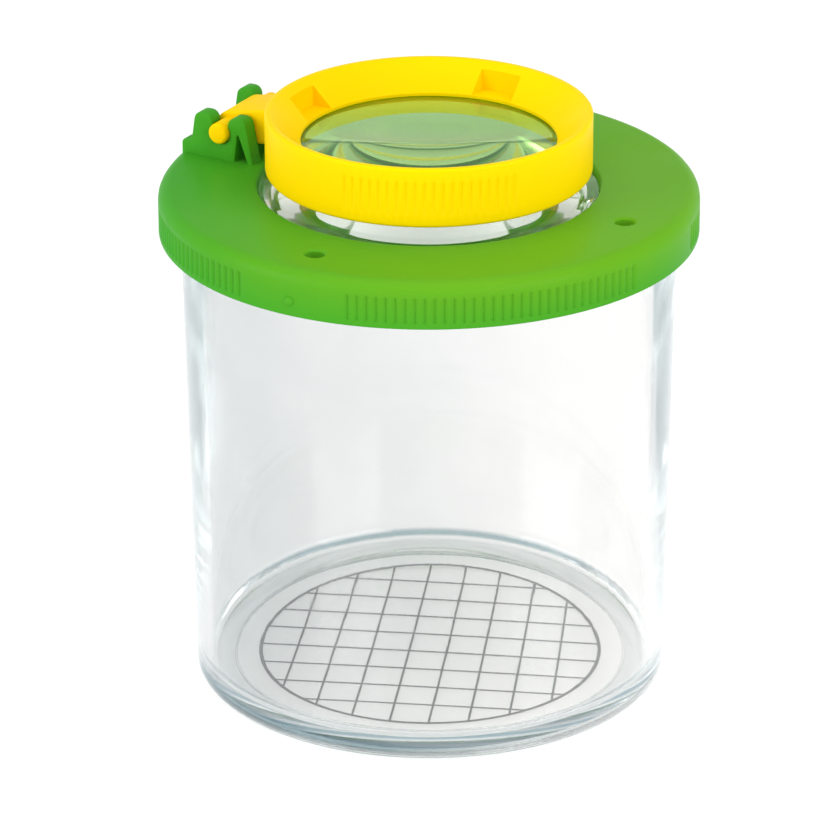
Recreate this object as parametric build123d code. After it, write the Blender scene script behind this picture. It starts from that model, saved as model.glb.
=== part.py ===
from build123d import *
import os
from math import asin, cos, sin, sqrt

# Bug catcher jar: a clear jar with a printed measuring grid under its floor, a screw lid that holds a
# lens over its opening, and a second lens in a ring that folds down on the lid from a snap hinge.
# Millimetres, +Z up, origin at the middle of the jar's foot, hinge towards -X with its axis along Y.

# Jar
jar_height = 65.7
jar_rim_radius = 32.0
jar_base_radius = 30.8
jar_wall = 1.5
jar_floor = 2.0
jar_foot_round = 1.0
jar_inside_round = 2.0
jar_rim_round = 0.5

# Measuring disc in a recess under the floor, and the grid that is printed on it
disc_radius = 26.0
disc_thickness = 0.25
disc_clearance = 0.1
foot_recess = 0.5
ink_thickness = 0.05
grid_square = 5.0
grid_lines = 8
grid_circle_radius = 22.5
grid_line_width = 0.3
grid_circle_width = 0.45
grid_turn = 23.0

# Screw thread between jar and lid: a right-hand thread with two ribs on each piece
thread_starts = 2
thread_lead = 5.0
thread_turn = 180.0
thread_height = 0.9
thread_root_width = 1.3
thread_crest_width = 0.7
thread_clearance = 0.3
thread_sink = 0.4
thread_end_gap = 0.15
jar_thread_back_turn = 68.0

# Lid
lid_seat_gap = 0.1
lid_plate = 1.6
lid_skirt_depth = 4.5
lid_skirt_wall = 1.5
lid_edge_round = 1.8
lid_opening_margin = 1.05
lid_opening_round = 0.3
lens_seat_depth = 2.1
lens_ledge_width = 2.0
lens_ledge_thickness = 1.2
lens_collar_wall = 1.4
air_hole_radius = 1.25
air_hole_angles = (-90.0, 0.0, 90.0)

# Finger ribs on the lid's skirt: four arcs with plain gaps between them, one gap at the hinge
rib_arcs = 4
rib_arc_span = 66.0
rib_pitch = 2.0
rib_groove_depth = 0.35
rib_groove_width = 0.85
groove_overrun = 0.1

# Lens in the lid
lid_lens_fit = 0.15
lid_lens_edge = 1.4
lid_lens_flange = 1.55
lid_lens_rise = 2.6

# Snap hinge: two forks on the lid and the pin of the magnifier frame
hinge_inset = 7.2
hinge_rise = 3.6
pin_radius = 1.4
pin_clearance = 0.1
pin_end_overhang = 0.75
fork_gap_half = 4.15
fork_thickness = 2.2
fork_ledge = 1.8
fork_prong_height = 2.3
fork_prong_width = 2.55
fork_throat_half = 1.2
fork_prong_round = 1.1
fork_foot_spread = 1.3
fork_ledge_reach = 2.1
fork_sink = 0.8
relief_half_width = 1.0
relief_height = 4.0

# Magnifier frame: a ring with a funnel above its lens, an arm and the hinge barrel
arm_reach = 6.55
arm_clearance = 0.3
arm_height = 5.0
arm_sink = 0.75
barrel_radius = 2.1
ring_gap = 1.8
ring_lower_wall = 1.55
ring_rim = 0.9
ring_foot_round = 0.5
ring_rim_round = 0.35
funnel_depth = 3.6
lens_lip_height = 0.4
lens_lip_overlap = 1.1
lens_skirt = 0.9
lens_bead = 0.2
lens_bead_half = 0.3
lens_pockets = 4
pocket_width = 5.8
pocket_wall = 1.75

# Finger ribs on the magnifier ring
grip_angles = (-60.0, 60.0)
grip_span = 66.0
grip_pitch = 3.2
grip_groove_depth = 0.25
grip_groove_width = 0.6
grip_margin = 1.6

# Lens in the magnifier frame
lens_inset = 3.45
lens_fit = 0.1
lens_edge = 1.4
lens_upper_rise = 1.6
lens_lower_rise = 1.4
lens_dome_margin = 0.2
lens_gap = 0.9

# Radii that follow from the sizes above
recess_radius = disc_radius + disc_clearance
thread_crest_radius = jar_rim_radius + thread_height
skirt_inner_radius = thread_crest_radius + thread_clearance
lid_radius = skirt_inner_radius + lid_skirt_wall
hinge_offset = lid_radius - hinge_inset
ring_radius = hinge_offset - arm_reach
opening_radius = ring_radius + lid_opening_margin
lid_lens_radius = opening_radius - lid_lens_fit
lid_lens_dome_radius = lid_lens_radius - lid_lens_flange
lens_radius = ring_radius - lens_inset
lens_lip_radius = lens_radius - lens_lip_overlap
lens_dome_radius = lens_lip_radius - lens_dome_margin

# Heights that follow from the sizes above
floor_height = foot_recess + jar_floor
lid_under = jar_height + lid_seat_gap
lid_top = lid_under + lid_plate
skirt_bottom = lid_under - lid_skirt_depth
lens_seat = lid_top - lens_seat_depth
lid_lens_shoulder = lens_seat + lid_lens_edge
lid_lens_top = lid_lens_shoulder + lid_lens_rise
hinge_height = lid_top + hinge_rise
ring_bottom = lid_top + ring_gap
lens_low = lid_lens_top + lens_gap + lens_lower_rise
lens_high = lens_low + lens_edge
lip_top = lens_high + lens_lip_height
ring_top = lip_top + funnel_depth
fork_outer = fork_gap_half + fork_thickness


def outline(corners):
    """Face in the XZ plane inside corners given as (x, z, corner radius)."""
    points = [(x, z) for x, z, _ in corners]
    radii = [radius for _, _, radius in corners]
    return make_face(Plane.XZ * FilletPolyline(*points, radius=radii, close=True))


def turned(corners):
    """Solid of revolution about Z."""
    return revolve(outline(corners), Axis.Z)


def dome(radius, edge_height, rise):
    """Arc in the XZ plane from the axis to the edge of a spherical cap, upwards or downwards."""
    sphere = (radius**2 + rise**2) / (2 * rise)
    centre = edge_height + rise - sphere
    half_angle = asin(radius / sphere) / 2
    middle = (sphere * sin(half_angle), centre + sphere * cos(half_angle))
    return ThreePointArc((0, edge_height + rise), middle, (radius, edge_height))


def between(half_width, face):
    """Face in the XZ plane thickened to both sides of it."""
    return extrude(face, half_width, both=True)


def thread_rib(root_radius, direction, start_height):
    """Helical rib that stands out of a wall, outwards (1) or inwards (-1)."""
    path = Helix(thread_lead, thread_lead * thread_turn / 360, root_radius)
    root = thread_root_width / 2
    crest = thread_crest_width / 2
    profile = Polygon(
        (-thread_sink * direction, -root),
        (thread_height * direction, -crest),
        (thread_height * direction, crest),
        (-thread_sink * direction, root),
        align=None,
    )
    section = Plane(path @ 0, x_dir=(1, 0, 0), z_dir=path % 0) * profile
    return Pos(Z=start_height) * sweep(section, path, is_frenet=True)


def thread(root_radius, direction, start_height, start_angle):
    """All ribs of one piece, evenly spaced round the axis."""
    rib = thread_rib(root_radius, direction, start_height)
    return [Rot(Z=start_angle + 360 * k / thread_starts) * rib for k in range(thread_starts)]


def grooves(radius, depth, width, centres, span, pitch, low, high):
    """Upright V grooves in a round wall, as cutters, over arcs of the given span."""
    outside = radius + groove_overrun
    groove = Polygon((radius - depth, 0), (outside, width / 2), (outside, -width / 2), align=None)
    count = int(span / pitch)
    first = -pitch * (count - 1) / 2
    angles = [centre + first + pitch * k for centre in centres for k in range(count)]
    pattern = Sketch() + [Rot(Z=angle) * groove for angle in angles]
    return Pos(Z=low) * extrude(pattern, high - low, dir=(0, 0, 1))


# The lid's lowest thread line, and the jar's, half a rib spacing above it
lid_thread_start = skirt_bottom + thread_root_width / 2 + thread_end_gap
jar_thread_rise = thread_lead / thread_starts / 2 - thread_lead * jar_thread_back_turn / 360
jar_thread_start = lid_thread_start + jar_thread_rise


def make_jar_body():
    """Clear jar, open at the top, with its thread outside the rim."""
    draft = (jar_rim_radius - jar_base_radius) / jar_height
    floor_radius = jar_base_radius + draft * floor_height - jar_wall
    cup = turned(
        [
            (0, foot_recess, 0),
            (recess_radius, foot_recess, 0),
            (recess_radius, 0, 0),
            (jar_base_radius, 0, jar_foot_round),
            (jar_rim_radius, jar_height, jar_rim_round),
            (jar_rim_radius - jar_wall, jar_height, jar_rim_round),
            (floor_radius, floor_height, jar_inside_round),
            (0, floor_height, 0),
        ]
    )
    return cup + thread(jar_rim_radius, 1, jar_thread_start, -jar_thread_back_turn)


def make_measuring_disc():
    """Clear film disc, stuck to the ceiling of the foot recess."""
    film = Cylinder(disc_radius, disc_thickness, align=(Align.CENTER, Align.CENTER, Align.MAX))
    return Pos(Z=foot_recess) * film


def make_measuring_grid():
    """Ink of the grid and of the circle round it, on the underside of the disc."""
    circle = Circle(grid_circle_radius + grid_circle_width) - Circle(grid_circle_radius)
    reach = grid_circle_radius + grid_circle_width / 2
    offsets = [grid_square * (k - (grid_lines - 1) / 2) for k in range(grid_lines)]
    lines = []
    for offset in offsets:
        length = 2 * sqrt(reach**2 - offset**2)
        lines.append(Pos(X=offset) * Rectangle(grid_line_width, length))
        lines.append(Pos(Y=offset) * Rectangle(length, grid_line_width))
    ink = Rot(Z=grid_turn) * (circle + lines)
    return Pos(Z=foot_recess - disc_thickness - ink_thickness) * extrude(ink, ink_thickness)


def make_fork():
    """One snap fork of the hinge, at the middle of the hinge axis."""
    prong_top = hinge_height + fork_prong_height
    ledge_top = lid_top + fork_ledge
    foot = lid_top - fork_sink
    outer_prong = -hinge_offset - fork_throat_half - fork_prong_width
    inner_prong = -hinge_offset + fork_throat_half + fork_prong_width
    profile = outline(
        [
            (outer_prong - fork_ledge_reach, foot, 0),
            (outer_prong - fork_ledge_reach, ledge_top, fork_prong_round / 2),
            (outer_prong - fork_foot_spread / 2, ledge_top, fork_prong_round / 2),
            (outer_prong, prong_top, fork_prong_round),
            (-hinge_offset - fork_throat_half, prong_top, fork_prong_round),
            (-hinge_offset - fork_throat_half, hinge_height, 0),
            (-hinge_offset + fork_throat_half, hinge_height, 0),
            (-hinge_offset + fork_throat_half, prong_top, fork_prong_round),
            (inner_prong, prong_top, fork_prong_round),
            (inner_prong + fork_foot_spread, foot, 0),
        ]
    )
    seat = Plane.XZ * Pos(-hinge_offset, hinge_height) * Circle(pin_radius + pin_clearance)
    relief_middle = inner_prong - fork_prong_width / 2 + fork_foot_spread / 2
    relief = outline(
        [
            (relief_middle - relief_half_width, lid_top, 0),
            (relief_middle + relief_half_width, lid_top, 0),
            (relief_middle - relief_half_width / 2, lid_top + relief_height, 0),
        ]
    )
    return between(fork_thickness / 2, profile - seat - relief)


def make_lid():
    """Screw lid with its ribbed skirt, lens seat, air holes and hinge forks."""
    ledge_radius = opening_radius - lens_ledge_width
    collar_radius = opening_radius + lens_collar_wall
    ledge_under = lens_seat - lens_ledge_thickness
    shell = turned(
        [
            (skirt_inner_radius, skirt_bottom, 0),
            (lid_radius, skirt_bottom, 0),
            (lid_radius, lid_top, lid_edge_round),
            (opening_radius, lid_top, lid_opening_round),
            (opening_radius, lens_seat, 0),
            (ledge_radius, lens_seat, 0),
            (ledge_radius, ledge_under, 0),
            (collar_radius, ledge_under, 0),
            (collar_radius, lid_under, 0),
            (skirt_inner_radius, lid_under, 0),
        ]
    )
    arc_step = 360 / rib_arcs
    rib_centres = [arc_step * (k + 0.5) for k in range(rib_arcs)]
    rib_top = lid_top - lid_edge_round
    shell -= grooves(
        lid_radius, rib_groove_depth, rib_groove_width,
        rib_centres, rib_arc_span, rib_pitch, skirt_bottom - groove_overrun, rib_top,
    )
    hole = Cylinder(air_hole_radius, lid_plate, align=(Align.CENTER, Align.CENTER, Align.MIN))
    hole_ring = (opening_radius + lid_radius) / 2
    shell -= [Rot(Z=angle) * Pos(hole_ring, 0, lid_under) * hole for angle in air_hole_angles]
    fork_middle = fork_gap_half + fork_thickness / 2
    shell += [Pos(Y=side * fork_middle) * make_fork() for side in (-1, 1)]
    return shell + thread(skirt_inner_radius, -1, lid_thread_start, 0)


def make_lid_lens():
    """Flat-bottomed lens with a flange that lies on the lid's ledge."""
    face = make_face(
        Plane.XZ
        * (
            dome(lid_lens_dome_radius, lid_lens_shoulder, lid_lens_rise)
            + Polyline(
                (lid_lens_dome_radius, lid_lens_shoulder),
                (lid_lens_radius, lid_lens_shoulder),
                (lid_lens_radius, lens_seat),
                (0, lens_seat),
                (0, lid_lens_top),
            )
        )
    )
    return revolve(face, Axis.Z)


def make_magnifier_frame():
    """Folding ring with its lens seat, finger ribs, arm, hinge barrel and pin."""
    bore = lens_radius + lens_fit
    skirt_low = lens_low - lens_skirt
    lower_bore = ring_radius - ring_lower_wall
    ring = turned(
        [
            (lower_bore, ring_bottom, 0),
            (ring_radius, ring_bottom, ring_foot_round),
            (ring_radius, ring_top, ring_rim_round),
            (ring_radius - ring_rim, ring_top, ring_rim_round),
            (lens_lip_radius, lip_top, 0),
            (lens_lip_radius, lens_high, 0),
            (bore, lens_high, 0),
            (bore, lens_low, 0),
            (bore - lens_bead, lens_low - lens_bead_half, 0),
            (bore, lens_low - 2 * lens_bead_half, 0),
            (bore, skirt_low, 0),
            (lower_bore, skirt_low, 0),
        ]
    )
    ring -= grooves(
        ring_radius, grip_groove_depth, grip_groove_width,
        grip_angles, grip_span, grip_pitch, ring_bottom + grip_margin, ring_top - grip_margin,
    )
    upright = (Align.CENTER, Align.CENTER, Align.MIN)
    pocket_round = Cylinder(ring_radius - pocket_wall, funnel_depth, align=upright)
    pocket_slot = Box(2 * ring_radius, pocket_width, funnel_depth, align=(Align.MIN, Align.CENTER, Align.MIN))
    pocket = Pos(Z=lip_top) * (pocket_round & pocket_slot)
    ring -= [Rot(Z=360 * k / lens_pockets) * pocket for k in range(lens_pockets)]
    arm_half = fork_gap_half - arm_clearance
    arm_low = hinge_height - barrel_radius
    arm_end = -ring_radius + arm_sink
    arm_foot = ring_bottom + ring_foot_round
    arm = outline(
        [
            (-hinge_offset, arm_low, 0),
            (arm_end, arm_foot, 0),
            (arm_end, arm_foot + arm_height, 0),
            (-hinge_offset, hinge_height + barrel_radius, 0),
        ]
    )
    centre = Plane.XZ * Pos(-hinge_offset, hinge_height)
    barrel = between(arm_half, centre * Circle(barrel_radius))
    pin = between(fork_outer + pin_end_overhang, centre * Circle(pin_radius))
    return ring + between(arm_half, arm) + barrel + pin


def make_magnifier_lens():
    """Lens with two curved faces, pressed up against the lip of the frame."""
    face = make_face(
        Plane.XZ
        * (
            dome(lens_dome_radius, lens_high, lens_upper_rise)
            + Polyline(
                (lens_dome_radius, lens_high),
                (lens_radius, lens_high),
                (lens_radius, lens_low),
                (lens_dome_radius, lens_low),
            )
            + dome(lens_dome_radius, lens_low, -lens_lower_rise)
            + Line((0, lens_low - lens_lower_rise), (0, lens_high + lens_upper_rise))
        )
    )
    return revolve(face, Axis.Z)


pieces = {
    "jar_body": make_jar_body,
    "measuring_disc": make_measuring_disc,
    "measuring_grid": make_measuring_grid,
    "lid": make_lid,
    "lid_lens": make_lid_lens,
    "magnifier_frame": make_magnifier_frame,
    "magnifier_lens": make_magnifier_lens,
}

os.makedirs("parts", exist_ok=True)
for name, make in pieces.items():
    export_step(make(), f"parts/{name}.step")
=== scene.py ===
import math

import bmesh
import bpy
from bpy.props import FloatProperty, FloatVectorProperty, IntProperty, PointerProperty
from bpy.types import Operator, Panel, PropertyGroup
from mathutils import Matrix, Vector


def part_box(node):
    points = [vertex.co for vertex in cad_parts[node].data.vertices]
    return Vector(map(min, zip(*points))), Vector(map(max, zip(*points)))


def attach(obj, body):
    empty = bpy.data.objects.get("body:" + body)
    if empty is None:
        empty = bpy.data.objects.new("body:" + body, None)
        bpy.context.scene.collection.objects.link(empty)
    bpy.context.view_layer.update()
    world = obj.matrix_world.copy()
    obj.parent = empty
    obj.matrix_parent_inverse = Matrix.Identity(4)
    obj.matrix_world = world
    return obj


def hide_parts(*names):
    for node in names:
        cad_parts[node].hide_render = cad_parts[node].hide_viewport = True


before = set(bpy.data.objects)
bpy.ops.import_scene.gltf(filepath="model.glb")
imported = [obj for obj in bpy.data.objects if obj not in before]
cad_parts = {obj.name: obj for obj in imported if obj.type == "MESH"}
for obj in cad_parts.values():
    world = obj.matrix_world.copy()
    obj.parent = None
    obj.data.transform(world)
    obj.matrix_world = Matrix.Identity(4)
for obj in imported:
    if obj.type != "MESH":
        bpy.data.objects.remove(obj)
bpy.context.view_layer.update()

bl_info = {
    "name": "Bug catcher jar",
    "version": (1, 0, 0),
    "blender": (4, 5, 0),
    "location": "View3D > Sidebar > Bug jar",
    "description": "Models a clear bug catcher jar with a screw lid, two lenses and a measuring grid",
    "category": "Object",
}

MM = 0.001
TOUCH = 1e-6
SLIVER = 2e-6
FLAT_SIDE = 0.99

FILM_ROUND = 0.05 * MM
FINE_ROUND = 0.15 * MM
EDGE_ROUND = 0.2 * MM
SOFT_ROUND = 0.3 * MM

ARC_STEPS = 28
BARREL_STEPS = 24
HOLE_STEPS = 40
LID_STEPS = 720
RING_STEPS = 450
THREAD_STEPS = 60

SMOOTH_ANGLE = math.radians(40)
LENS_SMOOTH_ANGLE = math.radians(20)

JAR_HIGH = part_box("jar_body")[1]
LID_LOW, LID_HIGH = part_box("lid")
RING_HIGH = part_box("magnifier_frame")[1]

# Degrees from the end of a thread rib, and the share of its height that is left there.
THREAD_TAPER = ((0.0, 0.05), (3.0, 0.45), (6.0, 0.8))
ON_CREST = 10 * TOUCH
HALF_DEGREE = 0.5

# How deep below a round wall its grooves are looked for, and how near in degrees a column has to lie.
WALL_REACH = 0.6 * MM
SAME_COLUMN = 0.05

# Name, place, the point that it faces, side in metres and power in watts.
SOFTBOXES = (
    ("overhead", (0.1, -0.1, 1.1), (0, 0, 0.05), 1.3, 3.4),
    ("front_right", (1.1, -0.3, 0.5), (0, 0, 0.04), 0.8, 5.6),
    ("front_left", (-0.75, -0.95, 0.5), (0, 0, 0.05), 0.8, 6.8),
)
HORIZON = (1.02, 1.02, 1.02, 1)
OVERHEAD = (0.63, 0.64, 0.65, 1)
FLOOR_GREY = (0.42, 0.42, 0.42, 1)

# Light runs a long way inside the clear pieces, and goes black there where the limit is low.
LIGHT_BOUNCES = 128
CLEAR_BOUNCES = 64

CAMERA_PLACE = (0.3149, -0.5479, 0.3121)
CAMERA_TURNS = ((math.radians(30), "Z"), (math.radians(66.25), "X"), (-0.0029, "Z"))


def size(name, description, millimetres):
    """A length that the user may change, shown in the units of the scene."""
    return FloatProperty(
        name=name,
        description=description,
        default=millimetres * MM,
        precision=5,
        subtype="DISTANCE",
        unit="LENGTH",
    )


def colour(name, description, red, green, blue):
    """A colour that the user may change, in linear values."""
    return FloatVectorProperty(
        name=name, description=description, default=(red, green, blue), size=3, min=0, max=1, subtype="COLOR"
    )


class JarSizes(PropertyGroup):
    """Sizes of the clear jar and of the measuring disc under its floor."""

    height: size("Height", "From the foot to the rim", JAR_HIGH[2] / MM)
    rim_radius: size("Rim radius", "Outside radius at the rim", 32.0)
    base_radius: size("Base radius", "Outside radius at the foot", 30.8)
    wall: size("Wall", "Thickness of the wall", 1.5)
    floor_top: size("Floor", "Height of the floor inside", 2.5)
    recess_radius: size("Recess radius", "Radius of the recess under the floor", 26.1)
    recess_depth: size("Recess depth", "Depth of the recess under the floor", 0.5)
    foot_round: size("Foot round", "Rounding of the foot's outer edge", 1.0)
    inside_round: size("Inside round", "Rounding between wall and floor inside", 2.0)
    rim_round: size("Rim round", "Rounding of the rim", 0.5)
    disc_radius: size("Disc radius", "Radius of the measuring disc", 26.0)
    disc_low: size("Disc underside", "Height of the disc's underside", 0.27)
    disc_high: size("Disc top", "Height of the disc's top", 0.47)


class ThreadSizes(PropertyGroup):
    """Sizes of the screw thread between jar and lid."""

    lead: size("Lead", "Rise of the thread in one turn", 5.0)
    height: size("Height", "How far a rib stands out of its wall", 0.9)
    root: size("Root", "Width of a rib at its wall", 1.3)
    crest: size("Crest", "Width of a rib at its top", 0.7)
    sink: size("Sink", "How deep a rib reaches into its wall", 0.4)
    lid_start: size("Lid start", "Height at which the lid's ribs begin", 62.1)
    jar_start: size("Jar start", "Height at which the jar's ribs begin", 62.4056)
    jar_turn: FloatProperty(
        name="Jar start angle",
        description="Angle at which the jar's ribs begin",
        default=math.radians(-68.0),
        subtype="ANGLE",
        unit="ROTATION",
    )


class LidSizes(PropertyGroup):
    """Sizes of the screw lid and of its hinge forks."""

    radius: size("Radius", "Outside radius", LID_HIGH[0] / MM)
    skirt_bottom: size("Skirt bottom", "Height of the skirt's lower edge", LID_LOW[2] / MM)
    skirt_inner: size("Skirt bore", "Inside radius of the skirt", 33.2)
    under: size("Plate underside", "Height of the plate's underside", 65.8)
    top: size("Plate top", "Height of the plate's top", 67.4)
    edge_round: size("Edge round", "Rounding of the upper edge", 1.8)
    opening: size("Opening", "Radius of the opening", 22.0)
    seat: size("Lens seat", "Height of the ledge that carries the lens", 65.3)
    ledge: size("Ledge radius", "Inside radius of that ledge", 20.0)
    ledge_under: size("Ledge underside", "Height of the ledge's underside", 64.1)
    collar: size("Collar", "Outside radius of the collar round the seat", 23.4)
    rib_depth: size("Rib depth", "Depth of the grooves between the finger ribs", 0.28)
    plain_rim: size("Plain rim", "Height of the plain rim under the finger ribs", 0.6)
    hole_radius: size("Air hole", "Radius of an air hole", 1.25)
    hole_ring: size("Air hole ring", "Radius of the circle of air holes", 28.35)
    hinge_x: size("Hinge offset", "Distance of the hinge axis from the middle", 27.5)
    hinge_z: size("Hinge height", "Height of the hinge axis", 71.0)
    seat_radius: size("Pin seat", "Radius of the round seat in a fork", 1.5)
    throat: size("Throat", "Half width of the slot above the pin seat", 1.2)
    fork_near: size("Fork inside", "Distance of a fork's inner face from the middle", 4.15)
    fork_width: size("Fork width", "Thickness of a fork along the axis", 2.2)
    fork_top: size("Fork top", "Height of the prongs' tops", 73.3)
    fork_ledge: size("Fork ledge", "Height of the step outside the outer prong", 69.2)


class LensSizes(PropertyGroup):
    """Sizes of the two lenses."""

    lid_radius: size("Lid lens", "Radius of the lens in the lid", 21.85)
    lid_low: size("Lid lens underside", "Height of its flat underside", 65.34)
    lid_shoulder: size("Lid lens flange", "Height of its flange's top", 66.7)
    lid_dome: size("Lid lens dome", "Radius of its dome", 20.3)
    lid_rise: size("Lid lens rise", "Rise of its dome", 2.6)
    radius: size("Magnifier lens", "Radius of the lens in the magnifier", 17.5)
    low: size("Edge underside", "Height of the lower side of its edge", 71.6)
    high: size("Edge top", "Height of the upper side of its edge", 72.96)
    dome: size("Dome", "Radius of its two domes", 16.2)
    rise: size("Upper rise", "Rise of its upper dome", 1.6)
    fall: size("Lower rise", "Depth of its lower dome", 1.4)


class MagnifierSizes(PropertyGroup):
    """Sizes of the folding magnifier frame."""

    radius: size("Radius", "Outside radius of the ring", 20.95)
    bottom: size("Bottom", "Height of the ring's underside", 69.2)
    top: size("Top", "Height of the ring's rim", RING_HIGH[2] / MM)
    rim: size("Rim", "Width of the rim", 0.9)
    lip_radius: size("Lip", "Inside radius of the lip above the lens", 16.4)
    lip_top: size("Lip top", "Height of the lip's top", 73.4)
    bore: size("Bore", "Radius of the lens bore", 17.6)
    lower_bore: size("Lower bore", "Inside radius under the lens", 19.4)
    pocket_radius: size("Pocket reach", "Radius to which the four pockets reach", 19.2)
    pocket_width: size("Pocket width", "Width of a pocket", 5.8)
    grip_depth: size("Grip depth", "Depth of the grooves between the finger ribs", 0.16)
    barrel: size("Barrel", "Radius of the hinge barrel", 2.1)
    arm_half: size("Arm", "Half width of the arm", 3.85)
    pin_radius: size("Pin", "Radius of the hinge pin", 1.4)
    pin_half: size("Pin length", "Half length of the hinge pin", 7.1)


class Finishes(PropertyGroup):
    """Colours of the plastics and of the ink."""

    lid_deep: colour("Lid, deep", "Green of the lid's shaded side", 0.044, 0.330, 0.018)
    lid_light: colour("Lid, light", "Green of the lid's bright side", 0.132, 0.395, 0.012)
    frame_deep: colour("Frame, deep", "Yellow of the frame's shaded side", 1.0, 0.64, 0.0)
    frame_light: colour("Frame, light", "Yellow of the frame's bright side", 1.0, 0.69, 0.0)
    ink: colour("Ink", "Near black of the printed lines", 0.010, 0.011, 0.012)
    film: colour("Film", "Milky grey of the measuring disc", 0.60, 0.62, 0.64)
    # Painted shade: the jar's darker tone at the foot and towards minus X.
    jar_painted_shade: colour("Jar, foot", "Tone of the clear plastic at the foot", 0.62, 0.66, 0.67)
    jar_wall: colour("Jar, wall", "Tone of the clear plastic of the wall", 1.0, 0.990, 0.980)
    # Painted shade: the dark band on the jar's wall just above the foot.
    jar_painted_band: colour("Jar, band", "Tone of the clear plastic just above the foot", 0.05, 0.16, 0.21)
    jar_tint: colour("Jar tint", "Colour that thick clear plastic takes on", 0.66, 0.76, 0.78)
    lid_lens_edge: colour("Lid lens, edge", "Tone of the lid lens on one side", 0.94, 0.96, 0.93)
    # Painted reflection: the green of the lid that the magnifier lens shows on one side.
    lens_green_reflection: colour("Lens, green", "Tone of the magnifier lens on its green side", 0.26, 0.60, 0.09)
    lens_clear: colour("Lens, clear", "Tone of the lenses where they are clear", 0.93, 0.96, 0.88)
    lens_tint: colour("Lens tint", "Colour that the thick lenses take on", 0.80, 0.90, 0.80)


class StageSizes(PropertyGroup):
    """Sizes of the studio round the jar."""

    floor: size("Floor", "Side of the floor", 6000.0)
    floor_gap: size("Floor gap", "How far the floor lies under the foot", 0.05)
    lens: FloatProperty(name="Lens", description="Focal length in millimetres", default=226.7)
    round_steps: IntProperty(
        name="Round steps", description="Steps of the round clear pieces", default=256, min=32
    )


def settings_of(*names):
    """The settings of some pieces, by name."""
    return [getattr(bpy.context.scene, "bug_jar_" + name) for name in names]


def deselect_everything():
    """Leaves edit mode and deselects all objects."""
    if bpy.context.mode != "OBJECT":
        bpy.ops.object.mode_set(mode="OBJECT")
    bpy.ops.object.select_all(action="DESELECT")


def select_all():
    """Selects the whole mesh in edit mode."""
    bpy.ops.mesh.select_all(action="SELECT")


def face_outwards():
    """Turns all faces outwards."""
    select_all()
    bpy.ops.mesh.normals_make_consistent(inside=False)


def pick(wanted, kind="VERT"):
    """Selects, in edit mode, the vertices, edges or faces that a test of their place accepts."""
    bpy.ops.mesh.select_mode(type=kind)
    bpy.ops.mesh.select_all(action="DESELECT")
    mesh = bpy.context.edit_object.data
    shape = bmesh.from_edit_mesh(mesh)
    for part in {"VERT": shape.verts, "EDGE": shape.edges, "FACE": shape.faces}[kind]:
        if wanted(part):
            part.select_set(True)
    shape.select_flush_mode()
    bmesh.update_edit_mesh(mesh)


def pick_end(x, z):
    """Selects the one vertex of an outline at a place."""
    pick(lambda v: abs(v.co.x - x) < TOUCH and abs(v.co.z - z) < TOUCH)


def start_outline(name, x, z):
    """Adds a plane, merges it to one point and moves that to the outline's first corner."""
    deselect_everything()
    bpy.ops.mesh.primitive_plane_add(size=MM, location=(0, 0, 0))
    piece = bpy.context.active_object
    piece.name = piece.data.name = name
    bpy.ops.object.mode_set(mode="EDIT")
    bpy.ops.mesh.select_mode(type="VERT")
    select_all()
    bpy.ops.mesh.merge(type="CENTER")
    select_all()
    bpy.ops.transform.translate(value=(x, 0, z))
    return piece


def line_to(start, end):
    """Extrudes the outline's end from one corner to the next."""
    step = (end[0] - start[0], 0, end[1] - start[1])
    bpy.ops.mesh.extrude_vertices_move(TRANSFORM_OT_translate={"value": step})


def arc_round(centre, angle, steps):
    """Spins the outline's end about a centre in the XZ plane."""
    bpy.ops.mesh.spin(steps=steps, angle=angle, center=(centre[0], 0, centre[1]), axis=(0, 1, 0))


def merge_ends():
    """Merges the ends of an outline, or the seam and the poles of a turned shape."""
    bpy.ops.mesh.select_mode(type="VERT")
    select_all()
    bpy.ops.mesh.remove_doubles(threshold=TOUCH)


def soften_corner(before, corner, after, radius, steps):
    """Rounds one corner of an outline."""
    to_before = Vector((before[0] - corner[0], before[1] - corner[1]))
    to_after = Vector((after[0] - corner[0], after[1] - corner[1]))
    cut = radius / math.tan(to_before.angle(to_after) / 2)
    pick_end(*corner)
    bpy.ops.mesh.bevel(offset=cut, offset_type="OFFSET", segments=steps, affect="VERTICES")


def draw_outline(name, corners, closed, steps=6, arc=None):
    """Draws an outline in the XZ plane: corners given as (x, z, rounding), and an arc after the last."""
    places = [(x, z) for x, z, _ in corners]
    piece = start_outline(name, *places[0])
    runs = places + places[:1] if closed else places
    for start, end in zip(runs, runs[1:]):
        line_to(start, end)
    if arc:
        arc_round(*arc)
    merge_ends()
    count = len(places)
    for k, (_, _, radius) in enumerate(corners):
        if radius:
            soften_corner(places[k - 1], places[k], places[(k + 1) % count], radius, steps)
    return piece


def draw_dome(radius, edge, rise):
    """Draws a dome's arc from its edge to the upright axis, downwards where the rise is negative."""
    ball = (radius**2 + rise**2) / (2 * rise)
    pick_end(radius, edge)
    arc_round((0, edge + rise - ball), math.asin(radius / ball), ARC_STEPS)


def turn_outline(steps=None):
    """Spins the outline once round the upright axis and closes the skin."""
    steps = steps or bpy.context.scene.bug_jar_stage.round_steps
    select_all()
    bpy.ops.mesh.spin(steps=steps, angle=math.tau, center=(0, 0, 0), axis=(0, 0, 1))
    close_skin()


def close_skin():
    """Merges what coincides and turns all faces outwards."""
    merge_ends()
    face_outwards()


def thicken_outline(low, high):
    """Fills an outline and extrudes it along Y between two places."""
    select_all()
    bpy.ops.mesh.edge_face_add()
    bpy.ops.transform.translate(value=(0, low, 0))
    bpy.ops.mesh.extrude_region_move(TRANSFORM_OT_translate={"value": (0, high - low, 0)})
    face_outwards()


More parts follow.
